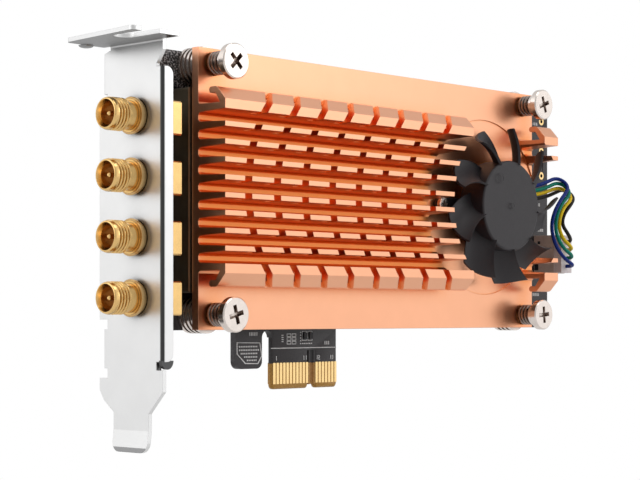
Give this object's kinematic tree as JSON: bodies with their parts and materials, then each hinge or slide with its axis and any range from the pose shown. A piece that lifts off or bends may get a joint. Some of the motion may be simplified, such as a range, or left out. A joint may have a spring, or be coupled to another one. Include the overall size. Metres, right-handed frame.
{
  "type": "pcie wifi card",
  "caption": "Low-profile wireless network card with a folded steel bracket, gold antenna jacks, a finned copper-coloured heatsink and a frameless cooling fan.",
  "frame": {"origin": "outer face of the bracket (X), component face of the board (Y) and bottom edge of the edge connector (Z)", "axes": "+X runs along the board away from the bracket, -Y is the component side with the heatsink, +Z points from the edge connector to the bracket's screw flange"},
  "size_m": [0.1535, 0.0236, 0.0802],
  "materials": {
    "bracket_steel": "satin nickel-plated sheet steel",
    "board_mask": "black solder mask with white silk print",
    "contact_gold": "gold plating",
    "jack_gold": "gold-plated turned brass",
    "insulator": "moulded insulator",
    "copper_anodised": "copper-coloured satin anodising",
    "nickel": "nickel plating",
    "spring_steel": "dark spring wire",
    "fan_plastic": "dark matt moulded plastic",
    "bearing_metal": "sintered bronze",
    "stator_iron": "laminations and enamelled windings",
    "magnet": "bonded magnet",
    "shaft_steel": "ground steel",
    "header_plastic": "moulded nylon",
    "plug_plastic": "moulded nylon",
    "pin_tin": "plated pins",
    "wire_blue": "wire insulation",
    "wire_green": "wire insulation",
    "wire_yellow": "wire insulation",
    "wire_black": "wire insulation",
    "shield_can": "tinned shield can",
    "thermal_pad": "soft thermal pad",
    "chip_plastic": "moulded chip packages",
    "capacitor": "ceramic capacitors",
    "crystal_can": "metal can"
  },
  "bodies": {
    "card": {"bracket": "bracket_steel", "circuit_board": "board_mask", "edge_contacts_front": "contact_gold", "edge_contacts_back": "contact_gold", "antenna_jack_1": "jack_gold", "antenna_jack_2": "jack_gold", "antenna_jack_3": "jack_gold", "antenna_jack_4": "jack_gold", "jack_nuts": "jack_gold", "jack_pins": "jack_gold", "jack_insulators": "insulator", "heatsink": "copper_anodised", "spring_screws": "nickel", "heatsink_standoffs": "nickel", "fan_screws": "nickel", "bracket_screws": "nickel", "screw_springs": "spring_steel", "fan_base": "fan_plastic", "fan_bearing": "bearing_metal", "fan_stator": "stator_iron", "fan_header": "header_plastic", "fan_plug": "plug_plastic", "fan_header_pins": "pin_tin", "fan_wire_blue": "wire_blue", "fan_wire_green": "wire_green", "fan_wire_yellow": "wire_yellow", "fan_wire_black": "wire_black", "radio_shield": "shield_can", "shield_pad": "thermal_pad", "radio_chip_pads": "thermal_pad", "switch_pad": "thermal_pad", "radio_chips": "chip_plastic", "switch_chip": "chip_plastic", "power_inductors": "chip_plastic", "power_regulator": "chip_plastic", "memory_chip": "chip_plastic", "capacitors": "capacitor", "clock_crystal": "crystal_can"},
    "rotor": {"fan_rotor": "fan_plastic", "fan_magnet": "magnet", "fan_shaft": "shaft_steel"}
  },
  "joints": [
    {"name": "fan_spin", "type": "hinge", "parent": "card", "child": "rotor", "pos_m": [0.10805, -0.0105, 0.04106], "axis": [0, -1, 0], "continuous": true}
  ]
}
